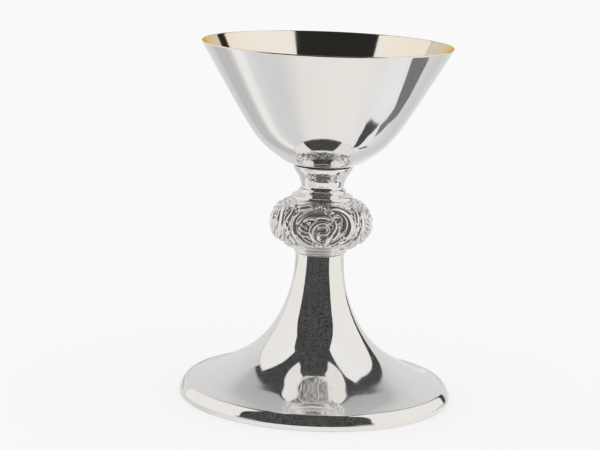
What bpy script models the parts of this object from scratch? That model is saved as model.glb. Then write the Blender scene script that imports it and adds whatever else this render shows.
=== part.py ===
"""Communion chalice, modelled as the pieces that it comes apart into.

A spun cup, with a boss and a tie rod fixed under it, stands on a turned neck collar, a cast knop
in two soldered halves, a reeded collar and a trumpet foot. The tie rod runs down through the
whole stem, and one nut under a dished plate inside the foot pulls the stack together.

Units are metres and +Z is up. The origin is the centre of the foot, on the plane it stands on.
Outlines are lists of (radius, height) in millimetres, turned about Z.
"""

import math

import bmesh
import bpy

MM = 0.001

# ---------------------------------------------------------------- driving dimensions, millimetres
HEIGHT = 175.0              # resting plane to lip
RIM_RADIUS = 61.0           # outside of the cup at the lip
BASE_RADIUS = 67.0          # outside of the foot
ARRIS_RADIUS = 63.3         # crisp upper edge of the foot band
ARRIS_HEIGHT = 7.3
LIP_HEIGHT = 2.9            # upright lip at the bottom of the foot band
TRUNK_RADIUS = 11.9         # narrowest part of the trumpet foot
TRUNK_TOP = 72.0
KNOP_RADIUS = 25.2
KNOP_EQUATOR = 87.4
KNOP_BOTTOM = 76.3
KNOP_TOP = 99.6
NECK_BOTTOM = 104.4
NECK_TOP = 115.3
CUP_BOTTOM = 115.6

SEAM = 0.3                  # gap left between pieces that touch or are soldered
CUP_WALL = 1.0
FOOT_WALL = 1.2
KNOP_WALL = 1.8

ROD_RADIUS = 3.0            # tie rod, 6 mm thread with a 1 mm pitch
ROD_BOTTOM = 24.0
ROD_TOP = 115.0
BORE = ROD_RADIUS + SEAM    # clearance hole through every piece on the rod
NUT_BOTTOM = 28.0
NUT_HEIGHT = 5.0
NUT_ACROSS_FLATS = 10.0
WASHER_THICKNESS = 1.1
WASHER_SPRING = 0.5         # how far the split washer's ends stand apart
PLATE_THICKNESS = 2.0

ROUND = 40                  # facets round the cup and the foot
STEM_ROUND = 32             # facets round the pieces of the stem
SMALL_ROUND = 24            # facets round a hidden piece
SHARP_EDGE = math.radians(35)


# ---------------------------------------------------------------------------------- outline maths
def smooth(knots, steps):
    """Points on a smooth curve through the knots, with so many steps from each to the next."""
    points = []
    last = len(knots) - 1
    for i in range(last):
        before = knots[max(i - 1, 0)]
        start = knots[i]
        end = knots[i + 1]
        after = knots[min(i + 2, last)]
        for step in range(steps):
            t = step / steps
            points.append(tuple(
                0.5 * (2 * b + (c - a) * t + (2 * a - 5 * b + 4 * c - d) * t * t
                       + (3 * b - a - 3 * c + d) * t ** 3)
                for a, b, c, d in zip(before, start, end, after)))
    points.append(knots[last])
    return points


def inset(points, distance):
    """The same curve, moved sideways by a wall thickness, to the left of its direction."""
    moved = []
    last = len(points) - 1
    for i, (radius, height) in enumerate(points):
        ahead = points[min(i + 1, last)]
        behind = points[max(i - 1, 0)]
        run = ahead[0] - behind[0]
        rise = ahead[1] - behind[1]
        length = math.hypot(run, rise)
        moved.append((radius - rise / length * distance, height + run / length * distance))
    return moved


def radius_at(points, height):
    """Radius of a rising outline at a height."""
    for (r0, z0), (r1, z1) in zip(points, points[1:]):
        if z0 <= height <= z1:
            return r0 + (r1 - r0) * (height - z0) / (z1 - z0)
    raise ValueError("height is outside the outline")


def bead(radius, bottom, top, bulge):
    """A half-round moulding that stands out from a radius, from bottom to top."""
    middle = (bottom + top) / 2
    half = (top - bottom) / 2
    angles = [math.pi * (i / 4 - 0.5) for i in range(5)]
    return [(radius + bulge * math.cos(a), middle + half * math.sin(a)) for a in angles]


# --------------------------------------------------------------------------------- mesh and scene
def material(name, color, roughness, metallic):
    made = bpy.data.materials.new(name)
    made.use_nodes = True
    shader = made.node_tree.nodes["Principled BSDF"]
    shader.inputs["Base Color"].default_value = (*color, 1.0)
    shader.inputs["Roughness"].default_value = roughness
    shader.inputs["Metallic"].default_value = metallic
    return made


def add_object(name, mesh_builder, finish, parent):
    """Make a named object from a bmesh, smooth on its round sides and sharp at its edges."""
    bmesh.ops.remove_doubles(mesh_builder, verts=mesh_builder.verts, dist=1e-6)
    bmesh.ops.recalc_face_normals(mesh_builder, faces=mesh_builder.faces)
    mesh = bpy.data.meshes.new(name)
    mesh_builder.to_mesh(mesh)
    mesh_builder.free()
    mesh.shade_smooth()
    mesh.set_sharp_from_angle(angle=SHARP_EDGE)
    mesh.materials.append(finish)
    made = bpy.data.objects.new(name, mesh)
    bpy.context.collection.objects.link(made)
    made.parent = parent
    return made


def turned(name, outline, finish, parent, facets=ROUND):
    """Spin an outline about Z. It is closed into a ring unless both its ends lie on the axis."""
    build = bmesh.new()
    verts = [build.verts.new((radius * MM, 0.0, height * MM)) for radius, height in outline]
    edges = [build.edges.new(pair) for pair in zip(verts, verts[1:])]
    if outline[0][0] > 0.0:
        edges.append(build.edges.new((verts[-1], verts[0])))
    bmesh.ops.spin(build, geom=verts + edges, cent=(0, 0, 0), axis=(0, 0, 1),
                   angle=2 * math.pi, steps=facets, use_merge=True)
    return add_object(name, build, finish, parent)


def skin_loops(build, loops):
    """Quads between each closed loop of points and the next one."""
    rows = [[build.verts.new([c * MM for c in point]) for point in loop] for loop in loops]
    for near, far in zip(rows, rows[1:]):
        for i in range(len(near)):
            j = (i + 1) % len(near)
            build.faces.new((near[i], near[j], far[j], far[i]))
    return rows


def empty(name, parent=None):
    made = bpy.data.objects.new(name, None)
    bpy.context.collection.objects.link(made)
    made.parent = parent
    return made


# ----------------------------------------------------------------------------- outlines in common
FLARE_EDGE = (ARRIS_RADIUS - 0.9 - SEAM, ARRIS_HEIGHT - 0.2)
FLARE = smooth([FLARE_EDGE, (58.5, 8.4), (54.0, 10.3), (48.0, 13.3), (36.0, 20.2), (25.0, 30.3),
                (16.7, 45.0), (12.8, 59.0), (TRUNK_RADIUS, TRUNK_TOP - 2 * SEAM)], 2)
FLARE_INSIDE = inset(FLARE, FOOT_WALL)
BASE_SPIGOT = 15.5          # the knop's two end pieces locate in its shells at these radii
SHOULDER_SPIGOT = 13.0


# ------------------------------------------------------------------------------------------- foot
def make_foot_shell(finish, body):
    """Spun trumpet that flattens towards its edge, with a turned-in ring at its top."""
    ring_hole = 6.0
    outline = FLARE + [(TRUNK_RADIUS - 0.4, TRUNK_TOP), (ring_hole, TRUNK_TOP)]
    outline += [(ring_hole, TRUNK_TOP - FOOT_WALL), (FLARE_INSIDE[-1][0], TRUNK_TOP - FOOT_WALL)]
    outline += reversed(FLARE_INSIDE[:-1])
    return turned("foot_shell", outline, finish, body)


def make_foot_band(finish, body):
    """Moulded band round the foot: an upright lip, then a swelling slope up to a crisp arris."""
    slope = smooth([(BASE_RADIUS - 0.6, LIP_HEIGHT + 0.2), (BASE_RADIUS - 1.5, 5.0),
                    (ARRIS_RADIUS, ARRIS_HEIGHT)], 2)
    outline = [(BASE_RADIUS - 1.7, 0.0), (BASE_RADIUS - 0.5, 0.0), (BASE_RADIUS, 0.5)]
    outline += [(BASE_RADIUS, LIP_HEIGHT - 0.5), (BASE_RADIUS - 0.3, LIP_HEIGHT)]
    outline += slope
    outline += [(ARRIS_RADIUS - 0.9, ARRIS_HEIGHT - 0.2), (ARRIS_RADIUS - 0.9, 5.6)]
    outline += [(BASE_RADIUS - 1.7, 2.6)]
    return turned("foot_band", outline, finish, body)


def make_base_wire(finish, body):
    """Angle ring inside the band: its flat leg rests on the table, its upright carries the shell."""
    outside = BASE_RADIUS - 1.7 - SEAM
    upright = 61.9
    inside = 60.6
    shell_seat = FLARE_INSIDE[0][1] - SEAM
    outline = [(inside, 0.0), (outside, 0.0), (outside, 1.8), (upright, 1.8)]
    outline += [(upright, shell_seat), (inside, shell_seat)]
    return turned("base_wire", outline, finish, body)


def make_stem_top_plate(finish, body):
    """Thick disc soldered under the turned-in ring, which centres the rod and takes its pull."""
    radius = FLARE_INSIDE[-1][0] - SEAM
    top = TRUNK_TOP - FOOT_WALL - SEAM
    bottom = top - 4.0
    outline = [(BORE, bottom), (radius - 0.4, bottom), (radius, bottom + 0.4), (radius, top)]
    outline += [(BORE, top)]
    return turned("stem_top_plate", outline, finish, body, SMALL_ROUND)


# ------------------------------------------------------------------------------------------- stem
def make_reeded_collar(finish, body):
    """Two fine reeds between the trunk and the knop, with a spigot down into the trunk's ring."""
    bottom = TRUNK_TOP + SEAM
    top = 74.7
    middle = 73.4
    spigot = 6.0 - SEAM
    outline = [(BORE, TRUNK_TOP - 1.0), (spigot, TRUNK_TOP - 1.0), (spigot, bottom)]
    outline += bead(12.2, bottom, middle, 0.7) + bead(12.8, middle + 0.1, top, 0.8)
    outline += [(BORE, top)]
    return turned("reeded_collar", outline, finish, body, STEM_ROUND)


def make_knop_base(finish, body):
    """Plain dish that closes the bottom of the knop."""
    bottom = 75.0
    edge = KNOP_BOTTOM - SEAM
    top = 78.0
    outline = [(BORE, bottom), (13.4, bottom), (15.8, bottom + 0.3), (17.6, edge)]
    outline += [(BASE_SPIGOT, edge), (BASE_SPIGOT, top - 0.4), (BASE_SPIGOT - 0.4, top), (BORE, top)]
    return turned("knop_base", outline, finish, body, STEM_ROUND)


def make_knop_shell(name, outside, spigot, finish, body):
    """One cast half of the knop, from its mouth to the soldered joint at the equator."""
    rising = outside[0][1] < KNOP_EQUATOR
    mouth = outside[0][1]
    mouth_radius = spigot + SEAM
    inside = inset(outside, KNOP_WALL if rising else -KNOP_WALL)
    lining = [point for point in inside[1:-1] if point[0] > mouth_radius + 0.5]
    joint = KNOP_EQUATOR - SEAM / 2 if rising else KNOP_EQUATOR + SEAM / 2
    mouth_depth = KNOP_WALL if rising else -KNOP_WALL
    outline = [(mouth_radius, mouth)] + outside[:-1] + [(KNOP_RADIUS, joint)]
    outline += [(KNOP_RADIUS - KNOP_WALL, joint)] + lining[::-1]
    outline += [(mouth_radius, mouth + mouth_depth)]
    return turned(name, outline, finish, body, STEM_ROUND)


def make_knop_core(finish, body):
    """Spacer tube inside the knop, which carries the rod's pull past the thin shells."""
    bottom = 78.0 + SEAM
    top = KNOP_TOP - 1.4 - SEAM
    outline = [(4.2, bottom), (7.0, bottom), (7.0, top), (4.2, top)]
    return turned("knop_core", outline, finish, body, SMALL_ROUND)


def make_knop_shoulder(finish, body):
    """Plain disc on top of the knop, rising in two rounded steps to the neck."""
    edge = KNOP_TOP + SEAM
    top = NECK_BOTTOM - SEAM
    lip = 15.3
    lower_step = [(lip, edge), (lip, edge + 0.4), (14.7, edge + 0.9), (13.4, edge + 1.5),
                  (12.0, edge + 2.3)]
    upper_step = [(11.4, edge + 2.5), (11.6, edge + 3.2), (11.3, edge + 3.8), (10.6, top)]
    outline = [(BORE, KNOP_TOP - 1.4), (SHOULDER_SPIGOT, KNOP_TOP - 1.4), (SHOULDER_SPIGOT, edge)]
    outline += lower_step + upper_step + [(BORE, top)]
    return turned("knop_shoulder", outline, finish, body, STEM_ROUND)


def make_neck_collar(finish, body):
    """Concave collar under the cup, counterbored from above for the cup's boss."""
    counterbore = 9.3
    floor = 110.0
    waist = smooth([(10.5, NECK_BOTTOM), (10.4, 105.1), (11.1, 108.0), (12.0, 110.0), (13.4, 112.0),
                    (14.7, NECK_TOP - 0.6)], 2)
    outline = [(BORE, NECK_BOTTOM)] + waist
    outline += [(14.7, NECK_TOP), (counterbore, NECK_TOP), (counterbore, floor), (BORE, floor)]
    return turned("neck_collar", outline, finish, body, STEM_ROUND)


def make_seat_washer(finish, body):
    """Soft washer in the counterbore, between the collar and the cup's boss."""
    outline = [(BORE + 0.3, 110.3), (9.0, 110.3), (9.0, 110.9), (BORE + 0.3, 110.9)]
    return turned("seat_washer", outline, finish, body, SMALL_ROUND)


# -------------------------------------------------------------------------------------------- cup
def make_cup(finish, body):
    """Spun cup with a rounded bottom, nearly straight flaring sides and a thin rounded lip."""
    outside = smooth([(14.0, CUP_BOTTOM), (17.6, 116.7), (22.0, 119.4), (29.7, 125.3),
                      (39.5, 138.1), (50.6, 156.6), (RIM_RADIUS, HEIGHT - 0.5)], 2)
    inside = inset(outside, CUP_WALL)
    outline = [(0.0, CUP_BOTTOM)] + outside
    outline += [(RIM_RADIUS - 0.3, HEIGHT), (RIM_RADIUS - 0.8, HEIGHT)]
    outline += inside[::-1] + [(0.0, CUP_BOTTOM + CUP_WALL)]
    return turned("cup", outline, finish, body)


def make_cup_boss(finish, body):
    """Turned boss soldered under the cup, tapped for the tie rod."""
    bottom = 111.2
    outline = [(BORE, bottom), (8.6, bottom), (9.0, bottom + 0.4), (9.0, NECK_TOP)]
    outline += [(BORE, NECK_TOP)]
    return turned("cup_boss", outline, finish, body, SMALL_ROUND)


def make_tie_rod(finish, body):
    """Rod that hangs from the boss, right down through the stem."""
    chamfer = 0.5
    outline = [(0.0, ROD_BOTTOM), (ROD_RADIUS - chamfer, ROD_BOTTOM)]
    outline += [(ROD_RADIUS, ROD_BOTTOM + chamfer), (ROD_RADIUS, ROD_TOP - chamfer)]
    outline += [(ROD_RADIUS - chamfer, ROD_TOP), (0.0, ROD_TOP)]
    return turned("tie_rod", outline, finish, body, SMALL_ROUND)


# ---------------------------------------------------------------------------------- the fastening
def make_pressure_plate(finish, body):
    """Dished plate whose tapered edge wedges inside the trumpet."""
    bottom = NUT_BOTTOM + NUT_HEIGHT + WASHER_THICKNESS + WASHER_SPRING + 2 * SEAM
    rim = bottom + 2.0
    flat = 8.0
    inside = FLARE_INSIDE
    outline = [(BORE + 0.1, bottom), (flat, bottom), (radius_at(inside, rim) - 2 * SEAM, rim)]
    outline += [(radius_at(inside, rim + PLATE_THICKNESS) - 2 * SEAM, rim + PLATE_THICKNESS)]
    outline += [(flat, bottom + PLATE_THICKNESS), (BORE + 0.1, bottom + PLATE_THICKNESS)]
    return turned("pressure_plate", outline, finish, body, SMALL_ROUND)


def make_lock_washer(finish, body):
    """Split spring washer: a flat bar bent round in one rising turn, with its ends apart."""
    inside = BORE + 0.1
    outside = inside + 2.1
    bottom = NUT_BOTTOM + NUT_HEIGHT + SEAM
    gap = math.radians(16)
    steps = 20
    build = bmesh.new()
    loops = []
    for i in range(steps + 1):
        angle = gap / 2 + (2 * math.pi - gap) * i / steps
        base = bottom + WASHER_SPRING * i / steps
        corners = [(inside, base), (outside, base), (outside, base + WASHER_THICKNESS),
                   (inside, base + WASHER_THICKNESS)]
        loops.append([(r * math.cos(angle), r * math.sin(angle), z) for r, z in corners])
    rows = skin_loops(build, loops)
    build.faces.new(rows[0])
    build.faces.new(rows[-1])
    return add_object("lock_washer", build, finish, body)


def make_clamp_nut(finish, body):
    """Hexagonal nut with its corners chamfered by a cone at both ends."""
    chamfer = 0.5
    apothem = NUT_ACROSS_FLATS / 2
    top = NUT_BOTTOM + NUT_HEIGHT
    sixth = math.pi / 3

    def hexagon(angle):
        return apothem / math.cos((angle + sixth / 2) % sixth - sixth / 2)

    angles = [2 * math.pi * i / SMALL_ROUND for i in range(SMALL_ROUND)]
    loops = []
    for height in (NUT_BOTTOM, NUT_BOTTOM + chamfer, top - chamfer, top):
        face = height in (NUT_BOTTOM, top)
        loops.append([(apothem - 0.1 if face else hexagon(a), a, height) for a in angles])
    loops.append([(BORE, a, top) for a in angles])
    loops.append([(BORE, a, NUT_BOTTOM) for a in angles])
    loops.append(loops[0])
    build = bmesh.new()
    skin_loops(build, [[(r * math.cos(a), r * math.sin(a), z) for r, a, z in loop]
                       for loop in loops])
    return add_object("clamp_nut", build, finish, body)


# --------------------------------------------------------------------------------------- assembly
def build_chalice():
    for old in list(bpy.data.objects):
        bpy.data.objects.remove(old, do_unlink=True)

    silver = material("silver_plate", (0.86, 0.86, 0.87), 0.12, 1.0)
    cast_silver = material("cast_silver", (0.74, 0.73, 0.72), 0.28, 1.0)
    brass = material("turned_brass", (0.78, 0.60, 0.30), 0.30, 1.0)
    steel = material("bright_steel", (0.62, 0.62, 0.64), 0.35, 1.0)
    leather = material("washer_leather", (0.33, 0.20, 0.12), 0.85, 0.0)

    foot = empty("foot_body")
    stem = empty("stem_body", foot)
    cup = empty("cup_body", stem)
    washers = empty("washers_body", foot)
    nut = empty("nut_body", washers)

    make_foot_shell(silver, foot)
    make_foot_band(silver, foot)
    make_base_wire(brass, foot)
    make_stem_top_plate(brass, foot)

    make_reeded_collar(silver, stem)
    make_knop_base(silver, stem)
    lower = smooth([(17.9, KNOP_BOTTOM), (20.9, 77.7), (24.0, 81.5), (KNOP_RADIUS, KNOP_EQUATOR)], 2)
    upper = smooth([(15.2, KNOP_TOP), (19.6, 97.5), (22.8, 94.9), (24.6, 91.5),
                    (KNOP_RADIUS, KNOP_EQUATOR)], 2)
    make_knop_shell("knop_lower_shell", lower, BASE_SPIGOT, cast_silver, stem)
    make_knop_shell("knop_upper_shell", upper, SHOULDER_SPIGOT, cast_silver, stem)
    make_knop_core(brass, stem)
    make_knop_shoulder(silver, stem)
    make_neck_collar(silver, stem)
    make_seat_washer(leather, stem)

    make_cup(silver, cup)
    make_cup_boss(brass, cup)
    make_tie_rod(steel, cup)

    make_pressure_plate(brass, washers)
    make_lock_washer(steel, washers)
    make_clamp_nut(steel, nut)


build_chalice()
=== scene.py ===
import math

import bmesh
import bpy
import numpy as np
from mathutils import Matrix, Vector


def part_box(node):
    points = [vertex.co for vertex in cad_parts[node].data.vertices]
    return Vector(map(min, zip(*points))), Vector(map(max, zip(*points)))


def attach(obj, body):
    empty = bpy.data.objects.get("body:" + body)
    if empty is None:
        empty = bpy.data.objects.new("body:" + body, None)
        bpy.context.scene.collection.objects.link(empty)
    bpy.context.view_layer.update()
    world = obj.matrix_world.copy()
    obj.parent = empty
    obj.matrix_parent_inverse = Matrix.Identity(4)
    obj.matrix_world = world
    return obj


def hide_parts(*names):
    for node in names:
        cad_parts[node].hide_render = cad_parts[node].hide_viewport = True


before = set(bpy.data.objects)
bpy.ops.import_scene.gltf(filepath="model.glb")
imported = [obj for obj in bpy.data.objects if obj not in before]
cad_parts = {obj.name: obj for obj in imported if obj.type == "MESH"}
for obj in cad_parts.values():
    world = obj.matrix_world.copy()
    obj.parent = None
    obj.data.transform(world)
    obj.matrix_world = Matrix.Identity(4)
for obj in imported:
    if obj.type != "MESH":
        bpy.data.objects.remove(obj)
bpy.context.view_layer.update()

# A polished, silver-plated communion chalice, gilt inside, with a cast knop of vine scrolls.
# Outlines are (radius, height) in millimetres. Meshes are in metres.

MM = 0.001
TURNS = 224                     # facets round a large polished piece
SMALL_TURNS = 96                # facets round a small piece
ROD_TURNS = 48                  # facets round the tie rod
SHARP = math.radians(32)        # an edge that turns more than this is shaded as a crease
BORE = 3.3                      # clearance hole for the 6 mm tie rod
THREAD = 1.0                    # pitch of the rod's thread


# ------------------------------------------------------------------------------- outline helpers
def levels(node):
    """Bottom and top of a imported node, in millimetres."""
    low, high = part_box(node)
    return low.z / MM, high.z / MM


def reach(node):
    """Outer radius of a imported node, in millimetres."""
    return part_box(node)[1].x / MM


def curve(knots, spacing=0.45):
    """A natural cubic spline through the knots, sampled evenly: its bends have no kinks."""
    knots = np.array(knots, float)
    chord = np.hypot(*np.diff(knots, axis=0).T)
    at = np.concatenate([[0.0], np.cumsum(chord)])
    count = len(knots)
    system = np.zeros((count, count))
    right = np.zeros((count, 2))
    system[0, 0] = system[-1, -1] = 1.0
    for i in range(1, count - 1):
        system[i, i - 1] = chord[i - 1]
        system[i, i] = 2 * (chord[i - 1] + chord[i])
        system[i, i + 1] = chord[i]
        right[i] = 6 * ((knots[i + 1] - knots[i]) / chord[i] - (knots[i] - knots[i - 1]) / chord[i - 1])
    bend = np.linalg.solve(system, right)
    steps = max(int(round(at[-1] / spacing)), 2)
    where = np.linspace(0.0, at[-1], steps + 1)
    span = np.clip(np.searchsorted(at, where, side="right") - 1, 0, count - 2)
    width = chord[span][:, None]
    a = (at[span + 1] - where)[:, None] / width
    b = (where - at[span])[:, None] / width
    return (a * knots[span] + b * knots[span + 1]
            + ((a ** 3 - a) * bend[span] + (b ** 3 - b) * bend[span + 1]) * width ** 2 / 6)


def line(start, end, spacing=1.2):
    """Evenly spaced points on a straight run."""
    start, end = np.array(start, float), np.array(end, float)
    steps = max(int(np.hypot(*(end - start)) / spacing), 1)
    return start + (end - start) * np.linspace(0, 1, steps + 1)[:, None]


def inset(points, distance):
    """The same curve moved to the left of its direction by a wall thickness."""
    way = np.gradient(points, axis=0)
    way /= np.hypot(*way.T)[:, None]
    return points + np.column_stack([-way[:, 1], way[:, 0]]) * distance


def arc(centre, radius, start, end, steps=8):
    """Points on a circular arc, with its angles in degrees."""
    angles = np.radians(np.linspace(start, end, steps + 1))
    return np.array(centre) + radius * np.column_stack([np.cos(angles), np.sin(angles)])


def eased(outline, radius=0.15, steps=3):
    """Round off every clear corner of a closed outline, as polishing does."""
    outline = np.array(outline, float)
    eased_points = []
    for i, corner in enumerate(outline):
        before = outline[i - 1] - corner
        after = outline[(i + 1) % len(outline)] - corner
        a, b = np.hypot(*before), np.hypot(*after)
        turn = math.pi - math.acos(np.clip(before @ after / (a * b), -1, 1))
        if turn < math.radians(20):
            eased_points.append(corner)
            continue
        cut = min(radius * math.tan(turn / 2), 0.4 * a, 0.4 * b)
        start = corner + before / a * cut
        end = corner + after / b * cut
        for t in np.linspace(0, 1, steps + 1):
            eased_points.append((1 - t) ** 2 * start + 2 * t * (1 - t) * corner + t * t * end)
    return np.array(eased_points)


def packed_outline(node):
    """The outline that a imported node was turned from, read off its mesh where it crosses +X."""
    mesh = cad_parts[node].data
    places = [(round(v.co.x / MM, 4), round(v.co.z / MM, 4)) if abs(v.co.y) < 1e-6 and v.co.x > 0
              else None for v in mesh.vertices]
    near = {}
    for edge in mesh.edges:
        a, b = (places[i] for i in edge.vertices)
        if a and b and a != b:
            near.setdefault(a, set()).add(b)
            near.setdefault(b, set()).add(a)
    start = min(near)
    loop = [start]
    last, here = None, start
    while True:
        following = sorted(p for p in near[here] if p != last)[0]
        if following == start:
            return np.array(loop)
        loop.append(following)
        last, here = here, following


# ---------------------------------------------------------------------------------- mesh helpers
def around(turns, start=0.0):
    """Evenly spaced angles round the axis, and the direction that each one faces."""
    angles = np.linspace(0, 2 * math.pi, turns, endpoint=False) + start
    return angles, np.column_stack([np.cos(angles), np.sin(angles)])


def ring(facing, radius, height):
    """Points round the axis. Radius and height are single numbers, or have one for each point."""
    radius = np.broadcast_to(radius, len(facing))
    height = np.broadcast_to(height, len(facing))
    return np.column_stack([facing * radius[:, None], height])


def add_piece(name, vertices, faces, finishes, body, node, face_finish=None, relief=None):
    """Link a finished mesh, shade it and hand it to the frame."""
    mesh = bpy.data.meshes.new(name)
    mesh.from_pydata([tuple(v) for v in np.asarray(vertices) * MM], [], faces)
    for finish in finishes:
        mesh.materials.append(finish)
    if face_finish is not None:
        mesh.polygons.foreach_set("material_index", face_finish)
    if relief is not None:
        mesh.attributes.new("relief", "FLOAT", "POINT").data.foreach_set("value", relief)
    build = bmesh.new()
    build.from_mesh(mesh)
    bmesh.ops.remove_doubles(build, verts=build.verts, dist=1e-8)
    bmesh.ops.recalc_face_normals(build, faces=build.faces)
    build.to_mesh(mesh)
    build.free()
    mesh.shade_smooth()
    mesh.set_sharp_from_angle(angle=SHARP)
    piece = bpy.data.objects.new(name, mesh)
    bpy.context.scene.collection.objects.link(piece)
    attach(piece, body)
    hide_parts(node)


def skin(rings, closed):
    """Quads between neighbouring rings of points. Closed joins the last ring to the first."""
    count = len(rings[0])
    vertices = np.concatenate(rings)
    faces = []
    for k in range(len(rings) if closed else len(rings) - 1):
        near = k * count
        far = (k + 1) % len(rings) * count
        for i in range(count):
            j = (i + 1) % count
            faces.append((near + i, near + j, far + j, far + i))
    return vertices, faces


def turned(name, runs, body, node, turns=TURNS):
    """Turn runs of (points, finish) about Z into one closed piece, each run with its finish."""
    points = []
    owners = []
    finishes = []
    for run, finish in runs:
        if finish not in finishes:
            finishes.append(finish)
        for point in run:
            if points and np.hypot(*(np.array(point) - points[-1])) < 1e-4:
                continue
            points.append(np.array(point, float))
            owners.append(finishes.index(finish))
    facing = around(turns)[1]
    rings = [ring(facing, max(r, 0.0), z) for r, z in points]
    meets_axis = points[0][0] < 1e-6
    vertices, faces = skin(rings, not meets_axis)
    if meets_axis:
        faces = close_poles(faces, len(points), turns)
        owners = owners[1:]
    add_piece(name, vertices, faces, finishes, body, node, np.repeat(owners, turns))


def close_poles(faces, rows, turns):
    """Turn the quads that meet the axis in the first and last row into triangles."""
    last = (rows - 1) * turns
    mended = []
    for face in faces:
        corners = [0 if v < turns else last if v >= last else v for v in face]
        mended.append(tuple(dict.fromkeys(corners)))
    return mended


# ------------------------------------------------------------------------------------- materials
class Nodes:
    """A short way to write a material's node tree."""

    def __init__(self, name):
        self.material = bpy.data.materials.new(name)
        self.material.use_nodes = True
        self.tree = self.material.node_tree
        self.shader = self.tree.nodes["Principled BSDF"]

    def add(self, kind, **settings):
        node = self.tree.nodes.new(kind)
        for key, value in settings.items():
            setattr(node, key, value)
        return node

    def link(self, source, target):
        self.tree.links.new(source, target)

    def place(self, scale):
        """Object coordinates, stretched differently along each axis."""
        coordinates = self.add("ShaderNodeTexCoord")
        mapping = self.add("ShaderNodeMapping")
        mapping.inputs["Scale"].default_value = scale
        self.link(coordinates.outputs["Object"], mapping.inputs["Vector"])
        return mapping.outputs["Vector"]

    def noise(self, place, detail, roughness=0.5):
        node = self.add("ShaderNodeTexNoise")
        node.inputs["Scale"].default_value = 1.0
        node.inputs["Detail"].default_value = detail
        node.inputs["Roughness"].default_value = roughness
        self.link(place, node.inputs["Vector"])
        return node.outputs["Fac"]

    def spread(self, value, low, high, new_low, new_high):
        """Stretch the range from low to high over a new range, and stop at its ends."""
        node = self.add("ShaderNodeMapRange")
        node.inputs["From Min"].default_value = low
        node.inputs["From Max"].default_value = high
        node.inputs["To Min"].default_value = new_low
        node.inputs["To Max"].default_value = new_high
        self.link(value, node.inputs["Value"])
        return node.outputs["Result"]

    def mix(self, factor, first, second):
        """A colour between two others."""
        node = self.add("ShaderNodeMix", data_type="RGBA")
        self.link(factor, node.inputs["Factor"])
        node.inputs["A"].default_value = (*first, 1.0)
        node.inputs["B"].default_value = (*second, 1.0)
        return node.outputs["Result"]

    def bump(self, height, distance, below=None):
        """Fine relief of a depth in metres, over another one where that is given."""
        node = self.add("ShaderNodeBump")
        node.inputs["Strength"].default_value = 1.0
        node.inputs["Distance"].default_value = distance
        self.link(height, node.inputs["Height"])
        if below is not None:
            self.link(below, node.inputs["Normal"])
        return node.outputs["Normal"]

    def finish(self, color, rough, normal, metallic=1.0):
        """Join the surface to the shader and return the material."""
        shader = self.shader
        if isinstance(metallic, float):
            shader.inputs["Metallic"].default_value = metallic
        else:
            self.link(metallic, shader.inputs["Metallic"])
        self.link(color, shader.inputs["Base Color"])
        self.link(rough, shader.inputs["Roughness"])
        self.link(normal, shader.inputs["Normal"])
        return self.material


def polished_metal(name, color, stain, rough_low, rough_high, edge=(1.0, 1.0, 1.0), scratched=False):
    """Spun and hand-polished plate: a faint haze, hairlines round the axis and fine wipe marks.
    Edge is its tint where it is seen at a slant. Where the plate is handled most, fine scratches
    scatter a little light in specks."""
    n = Nodes(name)
    n.shader.inputs["Specular Tint"].default_value = (*edge, 1.0)
    haze = n.noise(n.place((38, 38, 38)), detail=4)
    hairlines = n.noise(n.place((70, 70, 5200)), detail=3, roughness=0.7)
    wipes = n.noise(n.place((420, 3100, 900)), detail=2, roughness=0.6)
    grain = n.noise(n.place((2300, 2300, 2300)), detail=2)
    shade = n.mix(n.spread(haze, 0.35, 0.75, 0.0, 1.0), color, stain)
    rough = n.spread(haze, 0.3, 0.75, rough_low, rough_high)
    fine = n.bump(hairlines, 0.0000008)
    fine = n.bump(wipes, 0.0000012, below=fine)
    fine = n.bump(grain, 0.0000025, below=fine)
    metallic = 1.0
    if scratched:
        specks = n.noise(n.place((1100, 1100, 1900)), detail=3, roughness=0.7)
        metallic = n.spread(specks, 0.38, 0.64, 0.99, 0.90)
    return n.finish(shade, rough, fine, metallic)


def cast_metal(name):
    """Cast relief: bright where it is rubbed, dark sulphide left in the recesses, and painted shade in
    its creases.
    """
    n = Nodes(name)
    depth = n.add("ShaderNodeAttribute", attribute_name="relief").outputs["Fac"]
    patch = n.noise(n.place((520, 520, 520)), detail=4, roughness=0.6)
    pits = n.noise(n.place((3800, 3800, 3800)), detail=3, roughness=0.65)
    # Painted shade and wear: the relief tone darkens the creases, mixed with noise patches of rubbing.
    wear_and_painted_shade = n.add("ShaderNodeMath", operation="MULTIPLY_ADD")
    n.link(patch, wear_and_painted_shade.inputs[0])
    wear_and_painted_shade.inputs[1].default_value = 0.35
    n.link(depth, wear_and_painted_shade.inputs[2])
    bright = n.spread(wear_and_painted_shade.outputs[0], 0.28, 0.72, 0.0, 1.0)
    color = n.mix(bright, (0.37, 0.35, 0.355), (0.94, 0.93, 0.92))
    rough = n.spread(bright, 0.0, 1.0, 0.45, 0.20)
    return n.finish(color, rough, n.bump(pits, 0.00001), metallic=0.9)


def turned_metal(name, color, stain):
    """Unplated lathe work: tool rings round the axis and a dull film."""
    n = Nodes(name)
    film = n.noise(n.place((160, 160, 160)), detail=4)
    rings = n.noise(n.place((120, 120, 9000)), detail=2, roughness=0.6)
    shade = n.mix(n.spread(film, 0.35, 0.7, 0.0, 1.0), color, stain)
    rough = n.spread(film, 0.3, 0.75, 0.22, 0.42)
    return n.finish(shade, rough, n.bump(rings, 0.00001))


def cut_leather(name):
    """Sole leather, with pores and darker flecks."""
    n = Nodes(name)
    pores = n.noise(n.place((1700, 1700, 1700)), detail=5, roughness=0.7)
    shade = n.mix(pores, (0.16, 0.085, 0.045), (0.40, 0.24, 0.13))
    rough = n.spread(pores, 0.3, 0.7, 0.7, 0.95)
    return n.finish(shade, rough, n.bump(pores, 0.00008), metallic=0.0)


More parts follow.
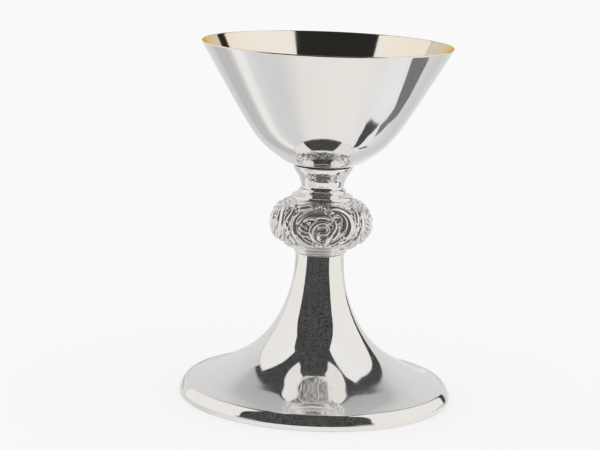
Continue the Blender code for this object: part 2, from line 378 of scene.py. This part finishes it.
SILVER = polished_metal("silver_plate", (0.94, 0.935, 0.93), (0.91, 0.90, 0.885), 0.035, 0.075)
WORN = polished_metal("silver_plate_worn", (0.94, 0.935, 0.93), (0.91, 0.90, 0.885), 0.035, 0.075,
                      scratched=True)
GILT = polished_metal("gilding", (0.98, 0.925, 0.83), (0.97, 0.905, 0.79), 0.04, 0.08, (1.0, 0.68, 0.22))
CAST = cast_metal("cast_silver")
BRASS = turned_metal("turned_brass", (0.80, 0.61, 0.29), (0.66, 0.47, 0.20))
STEEL = turned_metal("bright_steel", (0.64, 0.64, 0.66), (0.50, 0.50, 0.52))
LEATHER = cut_leather("washer_leather")


# ------------------------------------------------------------------------------------------- cup
def make_cup():
    """The spun bowl: silver outside, gilt inside from the top of its rolled lip."""
    bottom, top = levels("cup")
    rim = reach("cup")
    seat = 13.6                 # radius of the flat that stands on the neck
    wall = 0.7
    lip = wall / 2
    outside = curve([(seat, bottom), (17.6, bottom + 1.15), (22.2, bottom + 3.9), (29.7, bottom + 9.8),
                     (39.5, bottom + 22.6), (50.6, bottom + 41.1), (rim, top - 1.5 * lip)])
    inside = inset(outside, wall)[::-1]
    edge = outside[-1] * 0.5 + inside[0] * 0.5
    tilt = math.degrees(math.atan2(*(outside[-1] - inside[0])[::-1]))
    roll = arc(edge, lip, tilt, tilt + 180, 10)
    under = line((0.0, bottom), (seat, bottom))
    floor = line((inside[-1][0], bottom + wall), (0.0, bottom + wall))
    runs = [(under, SILVER), (outside, SILVER), (roll[:4], SILVER),
            (roll[4:], GILT), (inside, GILT), (floor, GILT)]
    turned("cup_bowl", runs, "cup", "cup")


# ------------------------------------------------------------------------------------------ foot
def make_foot():
    """The trumpet, from the inner edge of its band up to the top of the trunk."""
    top = levels("foot_shell")[1]
    shoulder = levels("foot_band")[1]
    edge = reach("foot_shell") + 1.0
    trunk = 11.9
    hole = 6.0
    wall = 1.2
    roll = 0.5
    flare = curve([(edge, shoulder - 0.2), (58.5, shoulder + 1.25), (54.0, shoulder + 3.05),
                   (48.0, shoulder + 6.0), (36.0, shoulder + 12.9), (25.0, shoulder + 23.0),
                   (16.7, shoulder + 37.7), (12.8, shoulder + 51.7), (trunk, top - roll)])
    inside = inset(flare, wall)[::-1]
    outline = [flare, arc((trunk - roll, top - roll), roll, 0, 90),
               line((hole, top), (hole, top - wall)),
               line((inside[0][0] - 0.3, top - wall), inside[0] - (0, 1.0)),
               inside[3:]]
    turned("foot_trumpet", [(run, WORN) for run in outline], "foot", "foot_shell")


def make_foot_band():
    """The moulding round the foot: an upright lip, a swelling slope and a crisp arris."""
    bottom, top = levels("foot_band")
    outer = reach("foot_band")
    lip = bottom + 2.9
    arris = outer - 3.7
    slope = curve([(outer - 0.3, lip + 0.15), (outer - 1.15, lip + 1.7), (outer - 2.15, lip + 3.3),
                   (outer - 2.85, lip + 4.05), (arris + 0.1, top)], 0.2)
    outline = [line((outer - 1.7, bottom), (outer - 0.6, bottom)),
               arc((outer - 0.6, bottom + 0.6), 0.6, -90, 0, 6),
               arc((outer - 0.5, lip - 0.5), 0.5, 0, 60, 6), slope,
               line((arris - 0.15, top - 0.08), (arris - 0.15, top - 1.6)),
               line((arris - 0.9, top - 1.7), (outer - 1.9, bottom + 2.9)),
               line((outer - 1.75, bottom + 2.6), (outer - 1.7, bottom + 0.1))]
    turned("foot_moulding", [(run, WORN) for run in outline], "foot", "foot_band")


# ------------------------------------------------------------------------------------------ stem
def make_reeded_collar():
    """Two fine reeds that overhang the trunk, on a spigot inside it."""
    bottom, top = levels("reeded_collar")
    sill = levels("foot_shell")[1] + 0.3
    middle = (sill + top) / 2
    low, high = (middle - sill) / 2, (top - middle) / 2
    spigot = 5.7
    outline = [line((BORE, bottom), (spigot, bottom)), line((spigot, sill), (12.2, sill)),
               arc((12.25, sill + low), low, -80, 80, 12),
               arc((12.75, middle + high), high, -80, 80, 12),
               line((12.4, top), (BORE, top))]
    turned("stem_reeds", [(run, WORN) for run in outline], "stem", "reeded_collar")


def make_knop_base():
    """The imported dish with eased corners, its lip raised to meet the cast band above it."""
    outline = packed_outline("knop_base")
    lip = outline[:, 0].argmax()
    outline[lip] += (0.1, 0.0)
    outline = np.insert(outline, lip, outline[lip] + (0.1, 0.28), axis=0)
    turned("knop_dish", [(eased(outline, 0.25), WORN)], "stem", "knop_base")


def make_knop_shoulder():
    """A plain disc on top of the knop that rises in two rounded steps to the neck."""
    bottom, top = levels("knop_shoulder")
    lip = reach("knop_shoulder")
    edge = bottom + 1.5
    spigot = 13.0
    lower_step = curve([(lip - 0.05, edge + 0.25), (14.7, edge + 0.95), (13.4, edge + 1.6),
                        (12.0, edge + 2.25)], 0.15)
    upper_step = curve([(11.4, edge + 2.45), (11.7, edge + 3.1), (11.3, edge + 3.8),
                        (10.6, top + 0.05)], 0.15)
    outline = [line((BORE, bottom), (spigot, bottom)), line((spigot, edge), (lip - 0.6, edge - 0.22)),
               arc((lip - 0.25, edge), 0.25, -90, 40, 6), lower_step, upper_step,
               line((10.4, top + 0.05), (BORE, top))]
    turned("knop_cap", [(run, WORN) for run in outline], "stem", "knop_shoulder")


def make_neck():
    """The concave collar under the cup, counterbored for the boss and its washer."""
    bottom, top = levels("neck_collar")
    flange = reach("neck_collar")
    waist = curve([(10.45, bottom - 0.1), (10.35, bottom + 0.6), (10.6, bottom + 1.8),
                   (11.15, bottom + 3.6), (12.05, bottom + 5.6), (13.4, bottom + 7.7),
                   (14.3, bottom + 9.4), (flange - 0.05, top - 0.5)], 0.25)
    counterbore = 9.3
    floor = bottom + 5.6
    outline = [line((BORE, bottom), (10.3, bottom - 0.15)), waist,
               arc((flange - 0.3, top - 0.3), 0.3, 0, 90, 5),
               line((counterbore, top), (counterbore, floor)),
               line((BORE, floor), (BORE, bottom + 0.5))]
    turned("neck", [(run, WORN) for run in outline], "stem", "neck_collar")


# ------------------------------------------------------------------------------------------ knop
REPEATS = 4                     # the vine motif goes round the knop four times
EQUATOR = reach("knop_lower_shell")
MOTIF = 2 * math.pi * EQUATOR / REPEATS
GROUND = 1.05                   # depth of the ground under the vines
HALO = 0.30                     # cut line left round a stem that passes over another
BROAD = 1.22                    # how much broader than its listed half width a stem is modelled

# Each stem: (points across and up the motif, half width, height, groove down its middle, taper).
VINES = [
    # strands that run up between the motifs and cross
    ([(-19.4, 3.0), (-18.4, 8.5), (-19.6, 15.0), (-17.4, 21.5), (-19.0, 27.5)], 1.05, 0.85, 0.0, 0.3),
    ([(-14.8, 3.4), (-16.6, 9.2), (-19.0, 14.8), (-22.2, 20.2), (-21.4, 26.0)], 0.95, 1.0, 0.3, 0.3),
    ([(-21.0, 4.4), (-18.0, 10.8), (-15.9, 16.8), (-15.0, 23.0)], 0.9, 1.15, 0.0, 0.5),
    ([(-23.4, 7.2), (-21.8, 13.2), (-20.8, 18.8), (-19.2, 24.0)], 0.85, 0.8, 0.0, 0.6),
    # left side stem, bowed outwards, and its two parallel feet
    ([(-12.8, 21.4), (-14.6, 18.6), (-15.0, 14.9), (-14.2, 11.6), (-12.2, 8.4), (-8.6, 4.8),
      (-4.6, 3.2)], 1.25, 1.15, 0.4, 0.5),
    ([(-11.8, 10.4), (-9.4, 7.6), (-6.6, 5.6), (-3.6, 4.8)], 0.8, 0.95, 0.0, 0.5),
    ([(-9.2, 10.6), (-6.9, 8.4), (-4.0, 6.8)], 0.65, 0.9, 0.0, 0.6),
    # leaves lying under the shoulder, and the stems beside them
    ([(13.0, 28.6), (16.8, 27.6), (20.6, 26.4)], 1.5, 1.0, 0.7, 0.9),
    ([(-15.4, 26.2), (-11.4, 27.8), (-7.0, 28.8)], 1.35, 1.05, 0.65, 0.9),
    ([(5.0, 28.6), (10.2, 27.9), (14.8, 25.7), (18.0, 22.2)], 0.8, 0.95, 0.0, 0.6),
    ([(1.6, 30.0), (8.0, 30.2), (14.6, 30.0), (20.0, 28.6)], 0.6, 0.75, 0.0, 0.5),
    ([(-20.0, 29.4), (-14.0, 29.8), (-8.0, 30.3), (-2.6, 30.2)], 0.6, 0.75, 0.0, 0.5),
    # upper arch and the thinner arches inside it
    ([(-12.4, 17.4), (-10.9, 20.1), (-8.4, 22.4), (-4.9, 23.8), (-0.9, 24.0), (2.6, 23.2), (5.0, 21.6)],
     1.25, 1.2, 0.35, 0.7),
    ([(-8.9, 18.6), (-6.4, 20.2), (-3.4, 20.2), (-1.6, 18.8)], 0.75, 0.95, 0.0, 0.7),
    ([(-2.0, 20.6), (1.1, 21.2), (4.0, 20.2), (5.4, 18.2)], 0.65, 1.1, 0.0, 0.7),
    ([(3.2, 23.4), (6.4, 24.6), (9.4, 26.2)], 0.95, 1.1, 0.4, 0.9),
    # big scroll down the right side, with a second ridge inside it
    ([(7.0, 25.6), (10.4, 25.2), (13.6, 23.2), (15.9, 19.9), (16.6, 16.6), (16.0, 13.4), (14.4, 10.6),
      (12.0, 8.4), (8.4, 6.4), (4.4, 5.0)], 1.45, 1.25, 0.45, 0.5),
    ([(9.0, 23.0), (12.0, 21.3), (13.2, 18.2), (12.6, 15.2), (10.2, 12.8)], 1.0, 1.2, 0.0, 0.8),
    ([(18.2, 9.8), (15.6, 7.0), (12.0, 5.0), (8.0, 3.8)], 0.7, 0.8, 0.0, 0.5),
    # stem that leans down from its curled head to the foot of the motif
    ([(8.7, 15.6), (8.4, 12.4), (6.4, 9.4)], 1.1, 0.85, 0.0, 0.6),
    ([(5.8, 17.6), (5.6, 20.2), (7.8, 21.8), (10.2, 20.9), (10.6, 18.8), (8.9, 18.0)],
     0.8, 1.15, 0.0, 0.4),
    ([(6.8, 18.8), (7.2, 16.3), (5.7, 13.3), (4.5, 10.2), (2.9, 5.4)], 1.1, 1.25, 0.0, 0.5),
    ([(10.4, 9.4), (7.6, 7.0), (4.4, 6.2)], 0.6, 0.9, 0.0, 0.7),
    # volute in the middle
    ([(4.2, 17.8), (0.2, 18.4), (-3.2, 16.8), (-4.8, 13.4), (-4.1, 10.2), (-1.6, 7.8), (1.7, 6.8)],
     1.05, 1.15, 0.4, 0.6),
    ([(-0.9, 15.8), (2.0, 16.4), (3.9, 14.4), (2.4, 12.6), (-0.1, 12.4), (-1.2, 10.7), (0.4, 9.1),
      (2.6, 9.8)], 0.95, 1.3, 0.0, 0.5),
    # lobed leaf on the left
    ([(-5.6, 9.8), (-7.2, 12.6), (-7.4, 15.6)], 0.85, 0.9, 0.0, 0.5),
    ([(-6.2, 11.0), (-8.6, 11.2), (-11.0, 12.2)], 0.8, 1.0, 0.0, 0.9),
    ([(-6.8, 13.0), (-9.0, 13.8), (-11.0, 15.0)], 0.8, 1.05, 0.0, 0.9),
    ([(-7.2, 15.0), (-9.0, 16.3), (-10.6, 17.0)], 0.7, 1.0, 0.0, 0.9),
]
# Berries and beads: (across, up, radius, height).
BERRIES = [(-6.3, 17.7, 1.0, 1.15), (11.9, 10.1, 1.0, 1.15), (-12.2, 23.0, 0.95, 1.1),
           (-0.8, 28.0, 1.1, 1.15), (1.4, 27.0, 0.85, 1.0), (-3.0, 26.9, 0.8, 0.95),
           (-1.8, 4.6, 0.8, 0.8), (0.4, 4.2, 0.8, 0.8), (-4.0, 4.4, 0.6, 0.7),
           (-16.0, 25.2, 0.8, 1.0), (19.0, 6.6, 0.7, 0.9), (-6.0, 26.0, 0.7, 0.9)]


def lay(height, away, half_width, crest, groove=0.0):
    """Lay one stem over the relief so far: its halo cuts down what lies under it."""
    near = np.clip(away / half_width, 0, 1)
    stem = crest * (1 - near ** 2) ** 0.6 - groove * np.exp(-(away / (0.28 * half_width)) ** 2)
    under = np.where(away < half_width + HALO, np.minimum(height, 0.25 * crest), height)
    return np.where(away < half_width, np.maximum(stem, 0.3 * under), under)


def vine_relief(across, up):
    """Height of the cast vines on a grid of one motif, in millimetres, over a matted ground."""
    height = 0.12 + 0.05 * np.sin(across * 3.4 + 1.7 * np.sin(up)) * np.sin(up * 3.7 + np.sin(across))
    for knots, half_width, crest, groove, taper in VINES:
        path = curve(knots, 0.22)
        along = np.linspace(0, 1, len(path))
        widths = BROAD * half_width * (1 - taper * (2 * np.abs(along - 0.45)) ** 3 * 0.8)
        for shift in (-MOTIF, 0.0, MOTIF):
            gaps = np.hypot(across[..., None] - path[:, 0] - shift, up[..., None] - path[:, 1])
            nearest = gaps.argmin(axis=-1)
            away = np.take_along_axis(gaps, nearest[..., None], -1)[..., 0]
            height = lay(height, away, widths[nearest], crest, groove)
    for x, y, radius, crest in BERRIES:
        for shift in (-MOTIF, 0.0, MOTIF):
            height = lay(height, np.hypot(across - x - shift, up - y), radius, crest)
    return height


def soften(grid, passes):
    """Average each point with its neighbours. The grid wraps round in its first direction."""
    for _ in range(passes):
        grid = (np.roll(grid, 1, 0) + 2 * grid + np.roll(grid, -1, 0)) / 4
        padded = np.pad(grid, ((0, 0), (1, 1)), mode="edge")
        grid = (padded[:, :-2] + 2 * grid + padded[:, 2:]) / 4
    return grid


def make_knop():
    """The cast band of vines, in the two halves that are soldered at the equator."""
    bottom = levels("knop_lower_shell")[0]
    top = levels("knop_upper_shell")[1]
    equator = levels("knop_lower_shell")[1]
    wall = 1.75
    surface = curve([(17.9, bottom), (20.9, bottom + 1.4), (24.0, bottom + 5.2), (EQUATOR, equator),
                     (24.6, equator + 4.1), (22.8, equator + 7.5), (19.6, top - 2.1), (15.2, top)], 0.24)
    rows, columns = len(surface), 160
    way = np.gradient(surface, axis=0)
    way /= np.hypot(*way.T)[:, None]
    outward = np.column_stack([way[:, 1], -way[:, 0]])
    up = np.concatenate([[0.0], np.cumsum(np.hypot(*np.diff(surface, axis=0).T))])
    across = np.linspace(-MOTIF / 2, MOTIF / 2, columns, endpoint=False)
    height = soften(vine_relief(*np.meshgrid(across, up, indexing="ij")), 2)
    fade = np.clip(np.minimum(up, up[-1] - up) / 0.9, 0, 1)
    # Painted shade: points lower than their neighbours, in the creases where stems meet the ground, are
    # darkened, and higher points are a little lighter, as if rubbed. This tone goes into the relief
    # attribute.
    painted_crease_shade = np.clip((soften(height, 14) - height) / 0.30, -1, 1)
    bright = np.clip(0.66 + 0.36 * (height - 0.55) - 0.55 * painted_crease_shade, 0, 1)
    bright = np.tile(bright, (REPEATS, 1))
    raised = np.tile((height - GROUND) * fade, (REPEATS, 1))
    turns = columns * REPEATS
    facing = around(turns, math.radians(135))[1]
    middle = int(np.argmin(np.abs(surface[:, 1] - equator)))
    for name, node, mouth, first, last in (
            ("knop_lower_vines", "knop_lower_shell", 15.8, 0, middle),
            ("knop_upper_vines", "knop_upper_shell", 13.3, middle, rows - 1)):
        rings = []
        tone_with_painted_shade = []
        if first == 0:
            rings.append(ring(facing, mouth, surface[first, 1]))
            tone_with_painted_shade.append(np.full(turns, 0.9))
        for k in range(first, last + 1):
            r = surface[k, 0] + outward[k, 0] * raised[:, k]
            z = surface[k, 1] + outward[k, 1] * raised[:, k]
            rings.append(ring(facing, r, z))
            tone_with_painted_shade.append(bright[:, k])
        if last == rows - 1:
            rings.append(ring(facing, mouth, surface[last, 1]))
            tone_with_painted_shade.append(np.full(turns, 0.9))
        for r, z in inset(surface, wall)[first:last + 1:6][::-1]:
            rings.append(ring(facing, max(r, mouth), z))
            tone_with_painted_shade.append(np.full(turns, 0.3))
        vertices, faces = skin(rings, True)
        add_piece(name, vertices, faces, [CAST], "stem", node,
                  relief=np.concatenate(tone_with_painted_shade))


# ------------------------------------------------------------------------------ rod, nut, spring
def thread_dip(angle, z):
    """How far a V thread cuts in at this angle and height, from 0 to 1."""
    phase = (z / THREAD - angle / (2 * math.pi)) % 1.0
    return 1 - np.abs(2 * phase - 1)


def make_rod():
    """The tie rod, with a pointed start and a thread that runs out part of the way up."""
    bottom, top = levels("tie_rod")
    radius = reach("tie_rod")
    threaded = bottom + 17.0
    run_out = 1.5
    angles, facing = around(ROD_TURNS)
    heights = np.concatenate([[bottom], np.arange(bottom, threaded + run_out, THREAD / 8),
                              [top - 0.5, top]])
    rings = [ring(facing, 0.0, bottom)]
    for z in heights:
        fade = np.clip((threaded - z) / run_out, 0, 1)
        limit = radius - np.clip(0.6 - (z - bottom), 0, 0.6)
        if z == top:
            limit -= 0.4
        rings.append(ring(facing, np.minimum(radius - 0.55 * fade * thread_dip(angles, z), limit), z))
    rings.append(ring(facing, 0.0, top))
    vertices, faces = skin(rings, False)
    faces = close_poles(faces, len(rings), ROD_TURNS)
    add_piece("rod_threaded", vertices, faces, [STEEL], "cup", "tie_rod")


def make_nut():
    """A hexagonal nut, chamfered on both faces and threaded inside."""
    bottom, top = levels("clamp_nut")
    flats = 10.0
    angles, facing = around(SMALL_TURNS)
    hexagon = flats / 2 / np.cos((angles + math.pi / 6) % (math.pi / 3) - math.pi / 6)
    rings = []
    for z in np.linspace(bottom, top, 25):
        cone = 0.47 * flats + 1.9 * min(z - bottom, top - z)
        rings.append(ring(facing, np.minimum(hexagon, cone), z))
    for z in np.linspace(top, bottom, 41):
        chamfer = BORE + np.clip(0.5 - min(z - bottom, top - z), 0, 0.5)
        rings.append(ring(facing, np.maximum(chamfer, BORE + 0.3 * thread_dip(angles, z)), z))
    vertices, faces = skin(rings, True)
    add_piece("nut_chamfered", vertices, faces, [STEEL], "nut", "clamp_nut")


def make_spring_washer():
    """A split ring of rectangular wire whose ends stand half a millimetre apart."""
    bottom, top = levels("lock_washer")
    inner, outer, thick = 3.4, 5.5, 1.1
    split = 16.0                # degrees between its ends
    rise = top - bottom - thick
    section = eased([(inner, 0.0), (outer, 0.0), (outer, thick), (inner, thick)], 0.12)
    stations = np.linspace(split / 2, 360 - split / 2, 90)
    vertices = []
    for share, angle in zip(np.linspace(0, 1, len(stations)), np.radians(stations)):
        for r, z in section:
            vertices.append((r * math.cos(angle), r * math.sin(angle), bottom + share * rise + z))
    count = len(section)
    faces = [tuple(range(count)), tuple(range(len(vertices) - 1, len(vertices) - count - 1, -1))]
    for k in range(len(stations) - 1):
        near = k * count
        far = near + count
        for i in range(count):
            j = (i + 1) % count
            faces.append((near + i, far + i, far + j, near + j))
    add_piece("washer_spring", vertices, faces, [STEEL], "washers", "lock_washer")


make_cup()
make_foot()
make_foot_band()
make_reeded_collar()
make_knop_base()
make_knop_shoulder()
make_neck()
make_knop()
make_rod()
make_nut()
make_spring_washer()
for node, body, finish, slot in (("knop_core", "stem", BRASS, "turned_brass"),
                                 ("seat_washer", "stem", LEATHER, "washer_leather"),
                                 ("stem_top_plate", "foot", BRASS, "turned_brass"),
                                 ("base_wire", "foot", BRASS, "turned_brass"),
                                 ("cup_boss", "cup", BRASS, "turned_brass"),
                                 ("pressure_plate", "washers", BRASS, "turned_brass")):
    outline = eased(packed_outline(node), 0.2)
    turned(node + "_turned", [(outline, finish)], body, node, SMALL_TURNS)


# --------------------------------------------------------------------------------- camera, stage
CARD_TOP = 1.5                  # height at which the grading of a standing card ends, metres


def make_camera():
    """A long lens almost a metre away and above the lip, tipped down and rolled a touch."""
    distance, height = 0.965, 0.270
    pitch, yaw, roll = np.radians((10.85, -0.61, 2.2))
    data = bpy.data.cameras.new("camera")
    data.sensor_width = 36.0
    data.lens = 120.0
    camera = bpy.data.objects.new("camera", data)
    bpy.context.scene.collection.objects.link(camera)
    ahead = np.array([math.sin(yaw) * math.cos(pitch), math.cos(yaw) * math.cos(pitch),
                      -math.sin(pitch)])
    level = np.array([math.cos(yaw), -math.sin(yaw), 0.0])
    rise = np.cross(level, ahead)
    side = level * math.cos(roll) + rise * math.sin(roll)
    up = rise * math.cos(roll) - level * math.sin(roll)
    matrix = Matrix.Identity(4)
    for row in range(3):
        matrix[row][0], matrix[row][1], matrix[row][2] = side[row], up[row], -ahead[row]
    matrix.translation = (0.0, -distance, height)
    camera.matrix_world = matrix
    bpy.context.scene.camera = camera


def add_stage(name, corners, finish, reflected_only):
    """A flat sheet for the set. A reflected card shows only in the polished metal."""
    mesh = bpy.data.meshes.new(name)
    mesh.from_pydata(corners, [], [tuple(range(len(corners)))])
    mesh.materials.append(finish)
    sheet = bpy.data.objects.new(name, mesh)
    bpy.context.scene.collection.objects.link(sheet)
    if reflected_only:
        sheet.visible_camera = False
        sheet.visible_diffuse = False
        sheet.visible_transmission = False
        sheet.visible_volume_scatter = False
        sheet.visible_shadow = False


def glow(name, stops, by_height=True):
    """A sheet that glows, graded by height in metres or else round the object in degrees."""
    n = Nodes(name)
    n.tree.nodes.remove(n.shader)
    coordinates = n.add("ShaderNodeTexCoord").outputs["Object"]
    ramp = n.add("ShaderNodeValToRGB")
    if by_height:
        parts = n.add("ShaderNodeSeparateXYZ")
        n.link(coordinates, parts.inputs[0])
        span = (0.0, CARD_TOP)
        n.link(n.spread(parts.outputs["Z"], *span, 0.0, 1.0), ramp.inputs[0])
    else:
        span = (-180.0, 180.0)
        sweep = n.add("ShaderNodeTexGradient", gradient_type="RADIAL")
        turn = n.add("ShaderNodeMapping")
        turn.inputs["Rotation"].default_value = (0.0, 0.0, math.radians(90))
        n.link(coordinates, turn.inputs["Vector"])
        n.link(turn.outputs["Vector"], sweep.inputs["Vector"])
        n.link(sweep.outputs["Fac"], ramp.inputs[0])
    elements = ramp.color_ramp.elements
    for place, (red, green, blue) in stops:
        share = (place - span[0]) / (span[1] - span[0])
        element = elements.new(min(max(share, 0.0), 1.0))
        element.color = (red, green, blue, 1.0)
    elements.remove(elements[0])
    elements.remove(elements[-1])
    emission = n.add("ShaderNodeEmission")
    n.link(ramp.outputs["Color"], emission.inputs["Color"])
    n.link(emission.outputs[0], n.tree.nodes["Material Output"].inputs["Surface"])
    return n.material


def grey(level, warmth=0.0):
    """A level of light, a little redder and less blue as its warmth rises."""
    return (level * (1 + warmth), level, level * (1 - 1.3 * warmth))


def upright(name, outline, finish, across=None, along=None):
    """A reflected card that stands at x = across or y = along. Its outline is (sideways, height)."""
    if across is not None:
        corners = [(across, y, z) for y, z in outline]
    else:
        corners = [(x, along, z) for x, z in outline]
    add_stage(name, corners, finish, True)


def flat(name, outline, height, finish, reflected_only=True):
    """A sheet that lies level at a height. Its outline is (x, y)."""
    add_stage(name, [(x, y, height) for x, y in outline], finish, reflected_only)


def make_stage():
    """A bright, even set for the eye, and a darker studio that only the metal reflects: a cream
    card on each side, a grey sweep behind, a white table with painted light and shade round the
    object and painted shadows on its right, and gloom in front and overhead."""
    paper = Nodes("pale_floor")
    paper.shader.inputs["Base Color"].default_value = (0.30, 0.30, 0.30, 1.0)
    paper.shader.inputs["Emission Color"].default_value = (1.0, 1.0, 1.0, 1.0)
    paper.shader.inputs["Emission Strength"].default_value = 0.65
    paper.shader.inputs["Roughness"].default_value = 0.9
    paper.shader.inputs["Specular IOR Level"].default_value = 0.0
    wide = 8.0
    flat("floor", [(-wide, -wide), (wide, -wide), (wide, wide), (-wide, wide)], 0.0, paper.material,
         False)

    gloom = glow("studio_gloom", [(0.0, grey(0.026)), (1.0, grey(0.021))])
    cream = glow("side_card", [(0.0, grey(0.83, 0.035)), (0.40, grey(0.83, 0.035)), (0.60, grey(0.86)),
                               (1.0, grey(0.86))])
    sweep = glow("back_sweep", [(0.0, grey(0.72)), (0.30, grey(0.68)), (0.45, grey(0.62)),
                                (0.62, grey(0.45)), (1.0, grey(0.40)), (1.45, grey(0.34))])
    # Painted light and shade: the table as the metal sees it, graded round the object, darker and
    # lighter where the chalice's shadow and the light fall.
    table = glow("table_painted_light_and_shade", [(-180, grey(0.72)), (-150, grey(0.67)), (-141, grey(0.63)),
                               (-133, grey(0.51)), (-126, grey(0.54)), (-118, grey(0.52)),
                               (-111, grey(0.62)), (-105, grey(0.86, 0.02)), (-96, grey(0.85, 0.02)),
                               (-89, grey(0.73)), (-76, grey(0.67)), (-56, grey(0.66)),
                               (-44, grey(0.72, 0.01)), (-32, grey(0.79, 0.03)), (10, grey(0.81, 0.035)),
                               (45, grey(0.82, 0.03)), (62, grey(0.80)), (84, grey(0.835)),
                               (100, grey(0.82)), (118, grey(0.68)), (136, grey(0.62)),
                               (150, grey(0.68)), (180, grey(0.72))], by_height=False)
    # Painted shadow: dark sheets where the chalice's shadow falls on the table, seen only in the metal.
    shade = glow("table_painted_shadow", [(0.0, grey(0.19)), (1.0, grey(0.19))])
    shadow_pool = glow("table_painted_shadow_pool", [(0.0, grey(0.07)), (1.0, grey(0.07))])

    side = 0.35
    upright("left_card", [(-0.20, 0.0), (-0.18, 0.06), (-0.17, 0.25), (-0.21, 0.42), (-0.15, 0.56),
                          (-0.135, 0.69), (0.10, 0.66), (0.34, 0.59), (0.32, 0.45), (0.32, 0.0)],
            cream, across=-side)
    upright("left_wing", [(0.325, 0.0), (0.325, 0.46), (0.495, 0.46), (0.495, 0.0)], sweep, across=-side)
    upright("right_card", [(-0.34, 0.0), (-0.30, 0.10), (-0.27, 0.33), (-0.30, 0.52), (-0.335, 0.75),
                           (-0.335, 0.93), (0.30, 1.03), (0.40, 0.93), (0.33, 0.70), (0.33, 0.0)],
            cream, across=side)
    upright("back_sweep", [(-0.46, 0.0), (0.385, 0.0), (0.375, 0.46), (0.383, 0.72), (0.365, 0.98),
                           (0.33, 1.12), (0.27, 1.20), (-0.27, 1.20), (-0.33, 1.11), (-0.375, 0.94),
                           (-0.415, 0.74), (-0.455, 0.55)], sweep, along=0.5)
    # The table, which carries painted light and shade round the object.
    flat("table_painted_light_and_shade", [(-0.5, -0.20), (-0.36, -0.14), (-0.20, -0.205), (0.20, -0.205), (0.35, -0.20),
                       (0.5, -0.26), (1.2, 0.2), (1.2, 1.6), (-1.2, 1.6), (-1.2, 0.2)], 0.0002, table)
    # Painted shadows of the chalice on the table: a long strip, a darker pool near the foot and a small
    # spill.
    flat("table_painted_shadow", [(0.130, 0.026), (0.148, 0.018), (0.166, 0.036), (0.182, 0.046), (0.200, 0.026),
                         (0.212, 0.008), (0.232, 0.016), (0.252, 0.120), (0.215, 0.124), (0.188, 0.104),
                         (0.165, 0.060)], 0.0003, shade)
    flat("table_painted_shadow_pool", [(0.068, -0.006), (0.092, -0.032), (0.112, -0.040), (0.124, -0.034),
                        (0.146, 0.010), (0.115, -0.006), (0.082, 0.002)], 0.0004, shadow_pool)
    flat("table_painted_shadow_spill", [(0.078, 0.009), (0.100, 0.025), (0.104, 0.044), (0.083, 0.023)], 0.0003, shade)
    far, tall = 7.0, 6.0
    flat("gloom_floor", [(-far, -far), (far, -far), (far, far), (-far, far)], 0.0001, gloom)
    flat("gloom_above", [(-far, -far), (far, -far), (far, far), (-far, far)], tall, gloom)
    wall = [(-far, 0.0), (far, 0.0), (far, tall), (-far, tall)]
    for name, place in (("gloom_left", -far), ("gloom_right", far)):
        upright(name, wall, gloom, across=place)
    for name, place in (("gloom_front", -far), ("gloom_back", far)):
        upright(name, wall, gloom, along=place)


def make_light():
    """Even white light from all round."""
    world = bpy.data.worlds.new("soft_dome")
    bpy.context.scene.world = world
    world.use_nodes = True
    background = world.node_tree.nodes["Background"]
    background.inputs["Color"].default_value = (1.0, 1.0, 1.0, 1.0)
    background.inputs["Strength"].default_value = 1.0
    bpy.context.scene.view_settings.view_transform = "Standard"


make_camera()
make_stage()
make_light()
